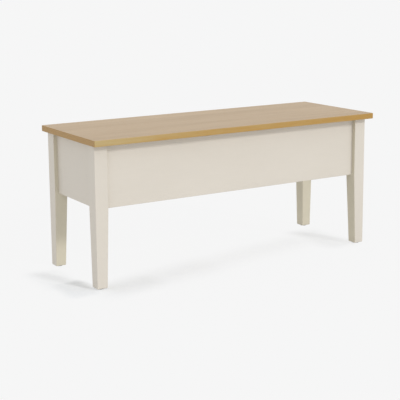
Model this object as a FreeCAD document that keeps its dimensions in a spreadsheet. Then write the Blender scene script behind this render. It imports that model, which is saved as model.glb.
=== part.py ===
import FreeCAD, Part
import math
import os

import Sketcher
from FreeCAD import Placement, Rotation, Vector

# A storage bench with a lift-up lid: four tapered legs, four panels between them, a floor
# panel in grooves, a one-piece lid on two butt hinges and a slotted stay at the right-hand end.
# The origin is on the floor under the middle of the lid. X runs along the bench, -Y is the
# front and +Z is up. Lengths are in millimetres and angles in degrees.

document = FreeCAD.newDocument("monks_bench")


def fill_sheet(name, values, prefix):
    """A sheet with one row for each value: its name, and the value under that name."""
    sheet = document.addObject("Spreadsheet::Sheet", name)
    for row, (alias, content) in enumerate(values.items(), start=1):
        sheet.set(f"A{row}", alias)
        sheet.set(f"B{row}", f"{prefix}{content}")
        sheet.setAlias(f"B{row}", alias)
    document.recompute()


# Driving dimensions
sizes = {
    "lid_length": 1100,  # lid, left to right
    "lid_depth": 400,  # lid, front to back
    "lid_thickness": 20,  # lid board
    "lid_edge": 2,  # rounding of the lid's top and bottom edges
    "seat_height": 480,  # floor to the top of the lid
    "lid_gap": 2,  # gap between lid and frame, filled by the bumpers
    "overhang_side": 12.5,  # lid past the legs at each end
    "overhang_front": 30,  # lid past the front legs
    "overhang_back": 20,  # lid past the back legs
    "leg_width": 45,  # square section of a leg beside the panels
    "foot_width": 36,  # square section of a leg at its foot
    "leg_arris": 1.5,  # arris taken off a leg's long edges
    "foot_chamfer": 1.2,  # chamfer round the end of a foot
    "panel_height": 202,  # front, end and back panels
    "panel_thickness": 18,  # front, end and back panels
    "panel_recess": 13.5,  # front and end panels behind the legs' outer faces
    "panel_arris": 1,  # arris taken off a panel's bottom edge
    "tenon_length": 16,  # panel's tenon in a leg
    "tenon_thickness": 8,  # panel's tenon in a leg
    "tenon_shoulder": 18,  # tenon from the panel's top and bottom edges
    "mortise_spare": 0.5,  # depth left free at the end of a tenon
    "floor_thickness": 6,  # floor panel of the well
    "groove_depth": 6,  # groove for the floor panel
    "groove_play": 0.2,  # play of the floor panel in its grooves, each side
    "bearer_width": 45,  # bearer under the floor panel
    "bearer_thickness": 14,  # bearer under the floor panel
    "bearer_tenon_length": 11,  # bearer's tenon in the front and back panels
    "bearer_tenon_width": 30,  # bearer's tenon
    "bearer_tenon_thickness": 7,  # bearer's tenon
    "glide_height": 3,  # glide under a foot
    "glide_radius": 12,  # glide under a foot
    "glide_rim": 1,  # bevel round a glide's bottom
    "nail_radius": 1.2,  # glide's nail
    "nail_length": 16,  # glide's nail above the glide
    "hinge_inset": 200,  # middle of a hinge from the end of the lid
    "hinge_length": 60,  # one hinge
    "leaf_width": 20,  # hinge axis to the leaf's free edge
    "leaf_thickness": 1.6,  # hinge leaf
    "knuckle_radius": 3,  # outside of a hinge knuckle
    "knuckle_relief": 0.3,  # leaf's outer face past its knuckles
    "knuckle_joggle": 2,  # length of the step from leaf to knuckle
    "knuckle_play": 0.3,  # gap between two knuckles
    "pin_radius": 1.5,  # hinge pin
    "pin_play": 0.05,  # pin in the moving knuckles, radial
    "hinge_screw_hole": 1.8,  # hole for a screw in a hinge leaf or the stay bracket, radius
    "hinge_screw_apart": 36,  # between the two screws of a leaf
    "notch_play": 0.3,  # play of a hinge in its notch, each end
    "batten_inset": 270,  # middle of a lid batten from the end of the lid
    "batten_length": 236,  # lid batten, front to back
    "batten_width": 34,  # lid batten
    "batten_thickness": 16,  # lid batten
    "batten_shift": 10,  # battens behind the middle of the lid
    "batten_bevel": 5,  # bevel along a batten's lower edges
    "batten_screw_apart": 150,  # between the two screws of a batten
    "batten_screw_hole": 2.1,  # hole for a batten screw, radius
    "batten_screw_head": 4,  # seat for a batten screw's head, radius
    "bumper_radius": 5,  # bumper on a front leg
    "bumper_rim": 0.6,  # bevel round a bumper
    "lid_opening_angle": 95,  # widest opening of the lid
    "stay_reach": 95,  # hinge axis to the stay's pivot, and to its stud
    "stay_dip_angle": 5,  # stay's pivot below the hinge axis, closed
    "stay_spread_angle": 12,  # from the stay's pivot to its stud, closed
    "stay_play": 0.4,  # gap beside the stay arm, each face
    "arm_width": 14,  # stay arm
    "arm_thickness": 2,  # stay arm
    "slot_play": 0.15,  # play of the stud across the slot, each side
    "slot_spare": 0.8,  # travel left at each end of the slot
    "rivet_radius": 2.5,  # stay's pivot rivet
    "rivet_play": 0.05,  # arm on its rivet, radial
    "rivet_head_radius": 4.5,  # rivet's head
    "rivet_head_height": 1.6,  # rivet's head
    "rivet_tail_radius": 3.8,  # rivet's tail
    "rivet_tail_height": 1.2,  # rivet's tail
    "stud_radius": 3,  # shoulder of the stay's stud
    "stud_head_radius": 6,  # head of the stay's stud
    "stud_head_height": 1.8,  # head of the stay's stud
    "stud_shank_radius": 2,  # shank of the stud in the end panel
    "stud_shank_length": 14,  # shank of the stud in the end panel
    "collar_radius": 7,  # collar of the stud against the end panel
    "collar_length": 3.6,  # collar of the stud against the end panel
    "ear_radius": 8,  # rounded ear of the stay bracket
    "bracket_thickness": 1.6,  # sheet of the stay bracket
    "bracket_length": 44,  # stay bracket, front to back
    "bracket_width": 24,  # stay bracket on the lid
    "bracket_screw_apart": 26,  # between the bracket's two screws
}

# Places worked out from the driving dimensions
places = {
    "lid_end": "sizes.lid_length / 2",  # lid's right end
    "lid_back": "sizes.lid_depth / 2",  # lid's back edge
    "lid_under": "sizes.seat_height - sizes.lid_thickness",  # underside of the lid
    "frame_top": "lid_under - sizes.lid_gap",  # tops of legs and panels
    "panel_bottom": "frame_top - sizes.panel_height",  # lower edges of the panels
    "leg_outside": "lid_end - sizes.overhang_side",  # outer faces at the ends
    "leg_inside": "leg_outside - sizes.leg_width",  # inner faces along X
    "frame_front": "sizes.overhang_front - lid_back",  # front faces of the front legs
    "frame_back": "lid_back - sizes.overhang_back",  # back faces of the back legs
    "front_leg_inside": "frame_front + sizes.leg_width",  # inner faces along Y
    "back_leg_inside": "frame_back - sizes.leg_width",  # inner faces along Y
    "front_panel_outside": "frame_front + sizes.panel_recess",
    "front_panel_inside": "front_panel_outside + sizes.panel_thickness",
    "front_panel_middle": "front_panel_outside + sizes.panel_thickness / 2",
    "back_panel_inside": "frame_back - sizes.panel_thickness",
    "back_panel_middle": "frame_back - sizes.panel_thickness / 2",
    "end_panel_outside": "leg_outside - sizes.panel_recess",
    "end_panel_inside": "end_panel_outside - sizes.panel_thickness",
    "end_panel_middle": "end_panel_outside - sizes.panel_thickness / 2",
    "tenon_low": "panel_bottom + sizes.tenon_shoulder",  # lower end of a tenon
    "tenon_high": "frame_top - sizes.tenon_shoulder",  # upper end of a tenon
    "mortise_depth": "sizes.tenon_length + sizes.mortise_spare",
    "floor_under": "panel_bottom + sizes.bearer_thickness",  # underside of the floor
    "floor_top": "floor_under + sizes.floor_thickness",  # top of the floor
    "bearer_middle": "floor_under - sizes.bearer_thickness / 2",  # middle of the bearer's tenon
    "bearer_tenon_low": "bearer_middle - sizes.bearer_tenon_thickness / 2",
    "bearer_tenon_high": "bearer_middle + sizes.bearer_tenon_thickness / 2",
    "bearer_mortise": "sizes.bearer_tenon_length + sizes.mortise_spare",
    "glide_x": "leg_outside - sizes.foot_width / 2",  # middle of a foot
    "glide_front": "frame_front + sizes.foot_width / 2",  # middle of a front foot
    "glide_back": "frame_back - sizes.foot_width / 2",  # middle of a back foot
    "leaf_offset": "sizes.knuckle_radius + sizes.knuckle_relief",
    "hinge_y": "frame_back + leaf_offset",  # hinge axis
    "hinge_z": "lid_under - leaf_offset",  # hinge axis
    "notch_bottom": "hinge_z - leaf_offset",  # bottom of a hinge notch
    "hinge_x": "lid_end - sizes.hinge_inset",  # middle of the right-hand hinge
    "knuckle_pitch": "sizes.hinge_length / 3",  # three knuckles
    "batten_x": "lid_end - sizes.batten_inset",  # middle of the right-hand batten
    "batten_under": "lid_under - sizes.batten_thickness",
    "batten_front": "sizes.batten_shift - sizes.batten_length / 2",
    "batten_back": "sizes.batten_shift + sizes.batten_length / 2",
    "pivot_y": "hinge_y - sizes.stay_reach * cos(sizes.stay_dip_angle)",  # stay's pivot
    "pivot_z": "hinge_z - sizes.stay_reach * sin(sizes.stay_dip_angle)",  # stay's pivot
    "stud_angle": "sizes.stay_dip_angle + sizes.stay_spread_angle",  # stud below the axis
    "stud_y": "hinge_y - sizes.stay_reach * cos(stud_angle)",  # stay's stud
    "stud_z": "hinge_z - sizes.stay_reach * sin(stud_angle)",  # stay's stud
    "arm_tilt": "sizes.stay_dip_angle + sizes.stay_spread_angle / 2",  # arm from upright, closed
    "open_half": "(sizes.stay_spread_angle + sizes.lid_opening_angle) / 2",
    "stud_near": "2 * sizes.stay_reach * sin(sizes.stay_spread_angle / 2)",  # pivot to stud, closed
    "stud_far": "2 * sizes.stay_reach * sin(open_half)",  # pivot to stud, open
    "slot_half": "sizes.stud_radius + sizes.slot_play",
    "slot_start": "stud_near - sizes.slot_spare",  # middle of the slot's upper end
    "slot_end": "stud_far + sizes.slot_spare",  # middle of the slot's lower end
    "collar_face": "end_panel_inside - sizes.collar_length",  # inner end of the stud's collar
    "arm_outside": "collar_face - sizes.stay_play",  # arm's face towards the end panel
    "arm_inside": "arm_outside - sizes.arm_thickness",  # arm's face towards the well
    "ear_outside": "arm_inside - sizes.stay_play",  # bracket's ear beside the arm
    "ear_inside": "ear_outside - sizes.bracket_thickness",
    "bracket_under": "lid_under - sizes.bracket_thickness",
    "bracket_inside": "ear_outside - sizes.bracket_width",
}

fill_sheet("sizes", sizes, "")
fill_sheet("places", places, "=")


# Outlines, drawn on a plane and bound to the two sheets

def body(label):
    """An empty piece. Its label is the node's name."""
    piece = document.addObject("PartDesign::Body", label)
    piece.Label = label
    piece.AllowCompound = True
    return piece


def value(owner, text):
    """The number that an expression gives."""
    return float(owner.evalExpression(text))


def bind(sketch, kind, geometry, text):
    """Holds one line length or radius to an expression."""
    index = sketch.addConstraint(Sketcher.Constraint(kind, geometry, value(sketch, text)))
    sketch.setExpression(f"Constraints[{index}]", text)


def pin_point(sketch, geometry, end, across, up, kinds=("DistanceX", "DistanceY")):
    """Holds a point of the outline at two expressions, or at one where an arc gives the rest."""
    for kind in kinds:
        text = across if kind == "DistanceX" else up
        place = Sketcher.Constraint(kind, -1, 1, geometry, end, value(sketch, text))
        index = sketch.addConstraint(place)
        sketch.setExpression(f"Constraints[{index}]", text)


def spot(sketch, point):
    """The present place of a pair of expressions."""
    return Vector(value(sketch, point[0]), value(sketch, point[1]), 0)


def polygon(*points):
    """A closed outline of straight lines through pairs of expressions."""
    def draw(sketch):
        spots = [spot(sketch, point) for point in points]
        count = len(points)
        lines = []
        for index in range(count):
            line = Part.LineSegment(spots[index], spots[(index + 1) % count])
            lines.append(sketch.addGeometry(line, False))
        for index in range(count):
            following = lines[(index + 1) % count]
            sketch.addConstraint(Sketcher.Constraint("Coincident", lines[index], 2, following, 1))
            pin_point(sketch, lines[index], 1, *points[index])
    return draw


def rectangle(left, right, low, high):
    return polygon((left, low), (right, low), (right, high), (left, high))


def circle(across, up, radius):
    def draw(sketch):
        ring = Part.Circle(spot(sketch, (across, up)), Vector(0, 0, 1), value(sketch, radius))
        geometry = sketch.addGeometry(ring, False)
        pin_point(sketch, geometry, 3, across, up)
        bind(sketch, "Radius", geometry, radius)
    return draw


def path(steps):
    """A closed outline of lines and arcs. A step is the point where it starts, and for an arc
    also its middle point and the sense in which it turns."""
    def draw(sketch):
        pieces = []
        count = len(steps)
        for index in range(count):
            start = spot(sketch, steps[index][0])
            end = spot(sketch, steps[(index + 1) % count][0])
            if len(steps[index]) == 1:
                geometry = sketch.addGeometry(Part.LineSegment(start, end), False)
                pieces.append((geometry, 1, 2))
                continue
            middle = spot(sketch, steps[index][1])
            ring = Part.Circle(middle, Vector(0, 0, 1), (start - middle).Length)
            anticlockwise = steps[index][2] > 0
            first, last = (start, end) if anticlockwise else (end, start)
            angle = math.atan2(first.y - middle.y, first.x - middle.x)
            stop = math.atan2(last.y - middle.y, last.x - middle.x)
            if stop < angle:
                stop = stop + 2 * math.pi
            geometry = sketch.addGeometry(Part.ArcOfCircle(ring, angle, stop), False)
            pieces.append((geometry, 1, 2) if anticlockwise else (geometry, 2, 1))
        for index in range(count):
            geometry, start_end, far_end = pieces[index]
            following, next_start, _ = pieces[(index + 1) % count]
            join = Sketcher.Constraint("Coincident", geometry, far_end, following, next_start)
            sketch.addConstraint(join)
            if len(steps[index]) > 1:
                pin_point(sketch, geometry, 3, *steps[index][1])
            before = steps[index - 1]
            kinds = ("DistanceX", "DistanceY")
            if len(before) > 1:
                reach = spot(sketch, steps[index][0]) - spot(sketch, before[1])
                kinds = ("DistanceX",) if abs(reach.y) > abs(reach.x) else ("DistanceY",)
            pin_point(sketch, geometry, start_end, *steps[index][0], kinds)
    return draw


# Features: material or a cut along one axis, from a low to a high place on it

PLANES = {"X": "YZ_Plane", "Y": "XZ_Plane", "Z": "XY_Plane"}


def origin_feature(piece, role):
    return [item for item in piece.Origin.OriginFeatures if item.Role == role][0]


def sketch_at(piece, name, axis, place, outlines):
    """A sketch across an axis. Across X its sides are Y and Z, across Y they are X and Z, and
    across Z they are X and Y."""
    sketch = piece.newObject("Sketcher::SketchObject", name + "_outline")
    sketch.AttachmentSupport = [(origin_feature(piece, PLANES[axis]), "")]
    sketch.MapMode = "FlatFace"
    offset = f"-({place})" if axis == "Y" else place
    sketch.setExpression("AttachmentOffset.Base.z", offset)
    for draw in outlines:
        draw(sketch)
    return sketch


def add(piece, name, axis, low, high, *outlines):
    """Material between two places on an axis."""
    sketch = sketch_at(piece, name, axis, low, outlines)
    pad = piece.newObject("PartDesign::Pad", name)
    pad.Profile = sketch
    pad.Reversed = axis == "Y"
    pad.setExpression("Length", f"({high}) - ({low})")
    document.recompute()
    return pad


def check_cut(piece, feature, before):
    """A cut has to take material away."""
    document.recompute()
    if piece.Shape.Volume >= before:
        raise RuntimeError(f"{piece.Label}: {feature.Label} cuts nothing")
    return feature


def cut(piece, name, axis, low, high, *outlines):
    """A cut between two places on an axis."""
    before = piece.Shape.Volume
    start = low if axis == "Y" else high
    sketch = sketch_at(piece, name, axis, start, outlines)
    pocket = piece.newObject("PartDesign::Pocket", name)
    pocket.Profile = sketch
    pocket.setExpression("Length", f"({high}) - ({low})")
    return check_cut(piece, pocket, before)


def spun_sketch(piece, name, centre, points):
    """Half of a round profile, drawn upright through its centre. Its sides are X and Z."""
    sketch = piece.newObject("Sketcher::SketchObject", name + "_profile")
    sketch.AttachmentSupport = [(origin_feature(piece, "XZ_Plane"), "")]
    sketch.MapMode = "FlatFace"
    sketch.setExpression("AttachmentOffset.Base.x", centre[0])
    sketch.setExpression("AttachmentOffset.Base.y", centre[2])
    sketch.setExpression("AttachmentOffset.Base.z", f"-({centre[1]})")
    polygon(*points)(sketch)
    return sketch


def spin(piece, name, axis, centre, points):
    """Round material about an axis through a centre. Round Z the points are radius and height,
    and round X they are length and radius."""
    sketch = spun_sketch(piece, name, centre, points)
    turned = piece.newObject("PartDesign::Revolution", name)
    turned.Profile = sketch
    turned.ReferenceAxis = (sketch, ["V_Axis" if axis == "Z" else "H_Axis"])
    turned.Angle = 360
    document.recompute()
    return turned


def spin_cut(piece, name, centre, points):
    """A round cut about an upright axis."""
    before = piece.Shape.Volume
    sketch = spun_sketch(piece, name, centre, points)
    groove = piece.newObject("PartDesign::Groove", name)
    groove.Profile = sketch
    groove.ReferenceAxis = (sketch, ["V_Axis"])
    groove.Angle = 360
    return check_cut(piece, groove, before)


def repeat(piece, name, feature, rows):
    """Two copies of a feature in one row, or four in two rows. A row is its axis and length."""
    pattern = piece.newObject("PartDesign::LinearPattern", name)
    pattern.Originals = [feature]
    for suffix, (axis, length) in zip(("", "2"), rows):
        setattr(pattern, "Direction" + suffix, (origin_feature(piece, axis + "_Axis"), [""]))
        setattr(pattern, "Mode" + suffix, "Extent")
        setattr(pattern, "Occurrences" + suffix, 2)
        pattern.setExpression("Length" + suffix, length)
    piece.Tip = pattern
    document.recompute()
    return pattern


def edge_names(piece, chosen):
    """The names of the edges whose two ends both pass the test."""
    names = []
    for number, edge in enumerate(piece.Shape.Edges, start=1):
        ends = [vertex.Point for vertex in edge.Vertexes]
        if all(chosen(end) for end in ends):
            names.append(f"Edge{number}")
    return names


def near(number, text, owner):
    return abs(number - value(owner, text)) < 0.001


def soften(piece, kind, name, size, chosen):
    """A Fillet or a Chamfer on the chosen edges."""
    base = piece.Tip
    feature = piece.newObject("PartDesign::" + kind, name)
    feature.Base = (base, edge_names(piece, chosen))
    feature.setExpression("Radius" if kind == "Fillet" else "Size", size)
    document.recompute()
    return feature


def sheet_seat(hole, sheet, towards):
    """A countersunk screw hole through a sheet, from the side of the head, towards +1 or -1."""
    sign = "" if towards > 0 else "-"
    return [
        ("0", "0"),
        (f"({hole} + {sheet})", "0"),
        (hole, f"({sign}{sheet})"),
        ("0", f"({sign}{sheet})"),
    ]


SIDES = (("left", "-1"), ("right", "1"))


# The lid: one solid oak board, its top and bottom edges rounded

lid = body("lid_board")
add(lid, "lid_blank", "Z", "places.lid_under", "sizes.seat_height", rectangle(
    "(-places.lid_end)", "places.lid_end", "(-places.lid_back)", "places.lid_back"))
for face, height in (("under", "places.lid_under"), ("top", "sizes.seat_height")):
    soften(lid, "Fillet", f"lid_{face}_edges", "sizes.lid_edge", lambda end: (
        near(end.z, height, lid)))

# Two battens screwed across the underside of the lid keep it flat.

batten_screw_row = "(sizes.batten_shift - sizes.batten_screw_apart / 2)"
for side, sign in SIDES:
    batten = body(f"lid_batten_{side}")
    middle = f"({sign} * places.batten_x)"
    left, right = f"({middle} - sizes.batten_width / 2)", f"({middle} + sizes.batten_width / 2)"
    bevel_top = "(places.batten_under + sizes.batten_bevel)"
    add(batten, f"batten_{side}_blank", "Y", "places.batten_front", "places.batten_back", polygon(
        (f"({left} + sizes.batten_bevel)", "places.batten_under"),
        (f"({right} - sizes.batten_bevel)", "places.batten_under"),
        (right, bevel_top),
        (right, "places.lid_under"),
        (left, "places.lid_under"),
        (left, bevel_top)))
    seat = spin_cut(batten, f"batten_{side}_seat", (middle, batten_screw_row, "places.batten_under"), [
        ("0", "0"),
        ("sizes.batten_screw_head", "0"),
        ("sizes.batten_screw_hole", "(sizes.batten_screw_head - sizes.batten_screw_hole)"),
        ("sizes.batten_screw_hole", "sizes.batten_thickness"),
        ("0", "sizes.batten_thickness"),
    ])
    repeat(batten, f"batten_{side}_seats", seat, [("Y", "sizes.batten_screw_apart")])


# Four legs: square beside the panels, and tapered on the two inner faces below them

def softened_square(outside, inside, face, back, arris):
    """A square section with its four arrises taken off. The outside may be left or right of
    the inside, and the face in front of the back or behind it."""
    def draw(sketch):
        west, east = sorted((outside, inside), key=lambda text: value(sketch, text))
        south, north = sorted((face, back), key=lambda text: value(sketch, text))
        polygon(
            (f"({west} + {arris})", south), (f"({east} - {arris})", south),
            (east, f"({south} + {arris})"), (east, f"({north} - {arris})"),
            (f"({east} - {arris})", north), (f"({west} + {arris})", north),
            (west, f"({north} - {arris})"), (west, f"({south} + {arris})"))(sketch)
    return draw


def leg(label, side, sign, front):
    piece = body(label)
    outside = f"({sign} * places.leg_outside)"
    inside = f"({sign} * places.leg_inside)"
    foot_inside = f"({sign} * (places.leg_outside - sizes.foot_width))"
    face = "places.frame_front" if front else "places.frame_back"
    back = "places.front_leg_inside" if front else "places.back_leg_inside"
    inward = "+" if front else "-"
    foot_back = f"({face} {inward} sizes.foot_width)"
    square = softened_square(outside, inside, face, back, "sizes.leg_arris")
    foot = softened_square(outside, foot_inside, face, foot_back, "sizes.leg_arris")
    end = softened_square(
        f"({outside} - {sign} * sizes.foot_chamfer)", f"({foot_inside} + {sign} * sizes.foot_chamfer)",
        f"({face} {inward} sizes.foot_chamfer)",
        f"({face} {inward} (sizes.foot_width - sizes.foot_chamfer))", "sizes.leg_arris")
    taper = piece.newObject("PartDesign::AdditiveLoft", label + "_taper")
    taper.Profile = sketch_at(piece, label + "_end", "Z", "sizes.glide_height", [end])
    taper.Sections = [
        sketch_at(piece, label + "_foot", "Z", "sizes.glide_height + sizes.foot_chamfer", [foot]),
        sketch_at(piece, label + "_knee", "Z", "places.panel_bottom", [square])]
    taper.Ruled = True
    document.recompute()
    add(piece, label + "_post", "Z", "places.panel_bottom", "places.frame_top", square)

    middle = "places.front_panel_middle" if front else "places.back_panel_middle"
    mouth, deep = "places.leg_inside", "(places.leg_inside + places.mortise_depth)"
    low, high = (mouth, deep) if side == "right" else (f"(-{deep})", f"(-{mouth})")
    cut(piece, label + "_long_mortise", "X", low, high, rectangle(
        f"({middle} - sizes.tenon_thickness / 2)", f"({middle} + sizes.tenon_thickness / 2)",
        "places.tenon_low", "places.tenon_high"))
    middle = f"({sign} * places.end_panel_middle)"
    deep = f"({back} {'-' if front else '+'} places.mortise_depth)"
    low, high = (deep, back) if front else (back, deep)
    cut(piece, label + "_end_mortise", "Y", low, high, rectangle(
        f"({middle} - sizes.tenon_thickness / 2)", f"({middle} + sizes.tenon_thickness / 2)",
        "places.tenon_low", "places.tenon_high"))


for side, sign in SIDES:
    leg(f"leg_front_{side}", side, sign, True)
    leg(f"leg_back_{side}", side, sign, False)


# Panels tenoned into the legs, with a groove for the floor. The front and end panels stand
# back from the legs' outer faces, and the back panel is flush with the back legs.

groove_low = "(places.floor_under - sizes.groove_play)"
groove_high = "(places.floor_top + sizes.groove_play)"
bearer_half = "(sizes.bearer_tenon_width / 2)"


def long_panel(label, outside, inside, middle, front):
    """The front or the back panel, which runs along X."""
    piece = body(label)
    low, high = (outside, inside) if front else (inside, outside)
    add(piece, label + "_blank", "Z", "places.panel_bottom", "places.frame_top",
        rectangle("(-places.leg_inside)", "places.leg_inside", low, high))
    tenon_end = "(places.leg_inside + sizes.tenon_length)"
    add(piece, label + "_tenons", "Z", "places.tenon_low", "places.tenon_high", rectangle(
        f"(-{tenon_end})", tenon_end, f"({middle} - sizes.tenon_thickness / 2)",
        f"({middle} + sizes.tenon_thickness / 2)"))
    soften(piece, "Chamfer", label + "_arris", "sizes.panel_arris", lambda end: (
        near(end.z, "places.panel_bottom", piece) and near(end.y, outside, piece)))
    away = "-" if front else "+"
    deep = f"({inside} {away} sizes.groove_depth)"
    low, high = (deep, inside) if front else (inside, deep)
    cut(piece, label + "_groove", "Y", low, high, rectangle(
        "(-places.leg_inside)", "places.leg_inside", groove_low, groove_high))
    deep = f"({inside} {away} places.bearer_mortise)"
    low, high = (deep, inside) if front else (inside, deep)
    cut(piece, label + "_bearer_mortise", "Y", low, high, rectangle(
        f"(-{bearer_half})", bearer_half, "places.bearer_tenon_low", "places.bearer_tenon_high"))
    return piece


long_panel("front_panel", "places.front_panel_outside", "places.front_panel_inside",
           "places.front_panel_middle", True)
back_panel = long_panel("back_panel", "places.frame_back", "places.back_panel_inside",
                        "places.back_panel_middle", False)
notch_half = "(sizes.hinge_length / 2 + sizes.notch_play)"
cut(back_panel, "hinge_notches", "Z", "places.notch_bottom", "places.frame_top",
    *[rectangle(f"({sign} * places.hinge_x - {notch_half})",
                f"({sign} * places.hinge_x + {notch_half})",
                "places.back_panel_inside", "places.frame_back")
      for side, sign in SIDES])


def end_panel(label, sign):
    """An end panel, which runs along Y between a front and a back leg."""
    piece = body(label)
    outside, inside = f"({sign} * places.end_panel_outside)", f"({sign} * places.end_panel_inside)"
    right = sign == "1"
    low, high = (inside, outside) if right else (outside, inside)
    add(piece, label + "_blank", "Z", "places.panel_bottom", "places.frame_top",
        rectangle(low, high, "places.front_leg_inside", "places.back_leg_inside"))
    middle = f"({sign} * places.end_panel_middle)"
    add(piece, label + "_tenons", "Z", "places.tenon_low", "places.tenon_high", rectangle(
        f"({middle} - sizes.tenon_thickness / 2)", f"({middle} + sizes.tenon_thickness / 2)",
        "(places.front_leg_inside - sizes.tenon_length)",
        "(places.back_leg_inside + sizes.tenon_length)"))
    soften(piece, "Chamfer", label + "_arris", "sizes.panel_arris", lambda end: (
        near(end.z, "places.panel_bottom", piece) and near(end.x, outside, piece)))
    deep = f"({sign} * (places.end_panel_inside + sizes.groove_depth))"
    low, high = (inside, deep) if right else (deep, inside)
    cut(piece, label + "_groove", "X", low, high, rectangle(
        "places.front_leg_inside", "places.back_leg_inside", groove_low, groove_high))
    return piece


end_panel("end_panel_left", "-1")
end_panel("end_panel_right", "1")

# The floor panel of the well, notched round the legs, with a bearer across its middle

floor = body("floor_panel")
floor_x = "(places.end_panel_inside + sizes.groove_depth - sizes.groove_play)"
floor_front = "(places.front_panel_inside - sizes.groove_depth + sizes.groove_play)"
floor_back = "(places.back_panel_inside + sizes.groove_depth - sizes.groove_play)"
notch_x = "(places.leg_inside - sizes.groove_play)"
notch_front = "(places.front_leg_inside + sizes.groove_play)"
notch_back = "(places.back_leg_inside - sizes.groove_play)"
add(floor, "floor_blank", "Z", "places.floor_under", "places.floor_top", polygon(
    (f"(-{notch_x})", floor_front), (notch_x, floor_front), (notch_x, notch_front),
    (floor_x, notch_front), (floor_x, notch_back), (notch_x, notch_back),
    (notch_x, floor_back), (f"(-{notch_x})", floor_back), (f"(-{notch_x})", notch_back),
    (f"(-{floor_x})", notch_back), (f"(-{floor_x})", notch_front),
    (f"(-{notch_x})", notch_front)))

bearer = body("floor_bearer")
add(bearer, "bearer_blank", "Z", "places.panel_bottom", "places.floor_under", rectangle(
    "(-sizes.bearer_width / 2)", "(sizes.bearer_width / 2)",
    "places.front_panel_inside", "places.back_panel_inside"))
add(bearer, "bearer_tenons", "Z", "places.bearer_tenon_low", "places.bearer_tenon_high",
    rectangle(f"(-{bearer_half})", bearer_half,
              "(places.front_panel_inside - sizes.bearer_tenon_length)",
              "(places.back_panel_inside + sizes.bearer_tenon_length)"))

# Nail-on glides under the feet: a bevelled disc and its nail, which is moulded into it

glides = body("foot_glides")
nail_end = "(sizes.glide_height + sizes.nail_length)"
glide = spin(glides, "first_glide", "Z", ("(-places.glide_x)", "places.glide_front", "0"), [
    ("0", "0"),
    ("(sizes.glide_radius - sizes.glide_rim)", "0"),
    ("sizes.glide_radius", "sizes.glide_rim"),
    ("sizes.glide_radius", "sizes.glide_height"),
    ("sizes.nail_radius", "sizes.glide_height"),
    ("sizes.nail_radius", nail_end),
    ("0", nail_end),
])
repeat(glides, "all_glides", glide, [
    ("X", "2 * places.glide_x"), ("Y", "places.glide_back - places.glide_front")])

# Bumpers on the front legs, which carry the front of the closed lid

bumpers = body("lid_bumpers")
bumper_x = "(places.leg_outside - sizes.leg_width / 2)"
bumper_y = "(places.frame_front + sizes.leg_width / 2)"
bumper = spin(bumpers, "first_bumper", "Z", (f"(-{bumper_x})", bumper_y, "places.frame_top"), [
    ("0", "0"),
    ("sizes.bumper_radius", "0"),
    ("sizes.bumper_radius", "(sizes.lid_gap - sizes.bumper_rim)"),
    ("(sizes.bumper_radius - sizes.bumper_rim)", "sizes.lid_gap"),
    ("0", "sizes.lid_gap"),
])
repeat(bumpers, "both_bumpers", bumper, [("X", f"2 * {bumper_x}")])


# Butt hinges: three knuckles on a pin. Closed, the two leaves lie one over the other.

def hinge_leaf(label, middle, up, first, count):
    """One leaf with its knuckles. The lid's leaf lies above the axis (up is +), and the
    frame's leaf below it (up is -). Knuckles alternate between the two leaves."""
    piece = body(label)
    start = f"({middle} - sizes.hinge_length / 2)"
    end = f"({middle} + sizes.hinge_length / 2)"
    free_edge = "(places.hinge_y - sizes.leaf_width)"
    plate_edge = "(places.hinge_y - places.leaf_offset)"
    outer = f"(places.hinge_z {up} places.leaf_offset)"
    inner = f"(places.hinge_z {up} (places.leaf_offset - sizes.leaf_thickness))"
    low, high = (inner, outer) if up == "+" else (outer, inner)
    add(piece, label + "_plate", "X", start, end, rectangle(free_edge, plate_edge, low, high))
    rise = "(places.leaf_offset - sizes.leaf_thickness)"
    root_y = f"(places.hinge_y - sqrt(sizes.knuckle_radius ^ 2 - {rise} ^ 2))"
    axis_point = ("places.hinge_y", "places.hinge_z")
    knuckle_start = f"({start} + {first} * places.knuckle_pitch + sizes.knuckle_play / 2)"
    knuckle_end = f"({start} + {first + 1} * places.knuckle_pitch - sizes.knuckle_play / 2)"
    curl = path([
        ((plate_edge, outer),),
        (("(places.hinge_y - sizes.knuckle_joggle)", outer),),
        (("places.hinge_y", f"(places.hinge_z {up} sizes.knuckle_radius)"), axis_point,
         -1 if up == "+" else 1),
        ((root_y, inner),),
        ((plate_edge, inner),),
    ])
    knuckle = add(piece, label + "_knuckle", "X", knuckle_start, knuckle_end, curl)
    if count > 1:
        repeat(piece, label + "_knuckles", knuckle, [("X", "2 * places.knuckle_pitch")])
    bore = "sizes.pin_radius" if up == "-" else "(sizes.pin_radius + sizes.pin_play)"
    cut(piece, label + "_bore", "X", start, end, circle(*axis_point, bore))
    hole_x = f"({middle} - sizes.hinge_screw_apart / 2)"
    seat = spin_cut(piece, label + "_seat", (hole_x, "places.back_panel_middle", inner),
                    sheet_seat("sizes.hinge_screw_hole", "sizes.leaf_thickness",
                               1 if up == "+" else -1))
    repeat(piece, label + "_seats", seat, [("X", "sizes.hinge_screw_apart")])


for side, sign in SIDES:
    middle = f"({sign} * places.hinge_x)"
    hinge_leaf(f"hinge_{side}_frame_leaf", middle, "-", 0, 2)
    hinge_leaf(f"hinge_{side}_lid_leaf", middle, "+", 1, 1)
    pin = body(f"hinge_{side}_pin")
    add(pin, f"pin_{side}_rod", "X", f"({middle} - sizes.hinge_length / 2)",
        f"({middle} + sizes.hinge_length / 2)",
        circle("places.hinge_y", "places.hinge_z", "sizes.pin_radius"))

# The lid stay: a bracket on the lid, a slotted arm on its rivet, and a stud on the end panel.
# The arm's pivot and the stud are equally far from the hinge axis, so the arm always turns
# half as far as the lid, and the stud stays on the middle line of the slot.

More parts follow.
